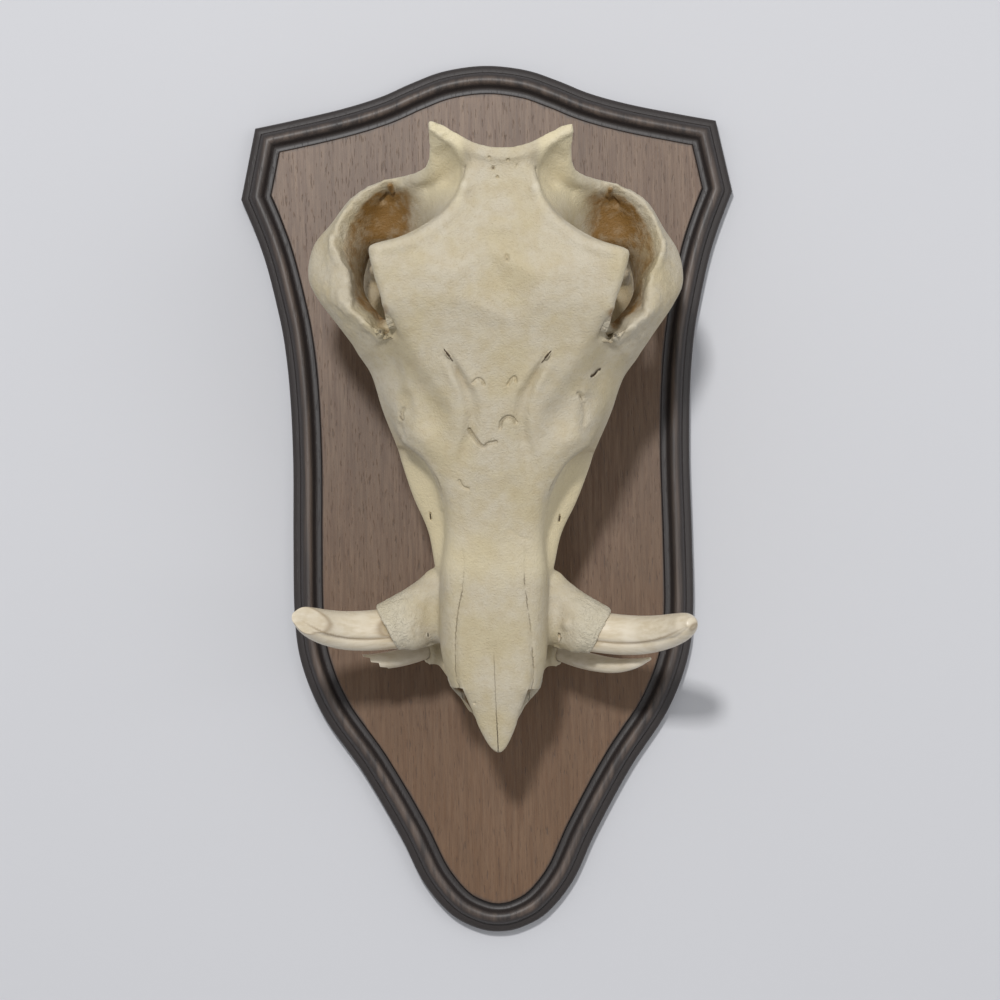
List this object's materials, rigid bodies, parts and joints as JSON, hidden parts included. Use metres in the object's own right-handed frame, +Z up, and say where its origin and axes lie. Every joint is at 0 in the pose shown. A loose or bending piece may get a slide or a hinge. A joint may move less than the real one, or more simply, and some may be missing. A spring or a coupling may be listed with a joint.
{
  "type": "warthog skull on a shield wall board",
  "caption": "Closed warthog skull with curved tusks, fixed flat to a shield-shaped stained wooden wall board.",
  "frame": {"origin": "middle of the board's flat back, on the wall", "axes": "+Y is the back's outward normal, into the wall; -Y points out to the viewer; +Z is up along the board; +X is the viewer's right"},
  "size_m": [0.3006, 0.2095, 0.53],
  "materials": {
    "stained_wood": "satin stained hardwood, edge moulding darkened nearly to black",
    "bone": "matte bleached bone, yellower in the hollows",
    "ivory": "satin tusk ivory",
    "molar_enamel": "stained tooth enamel, semi-gloss"
  },
  "bodies": {
    "root": {"plaque": "stained_wood", "cranium": "bone", "mandible": "bone", "upper_tusk_left": "ivory", "upper_tusk_right": "ivory", "lower_tusk_left": "ivory", "lower_tusk_right": "ivory", "upper_molar_left": "molar_enamel", "upper_molar_right": "molar_enamel", "lower_molar_left": "molar_enamel", "lower_molar_right": "molar_enamel"}
  },
  "joints": []
}
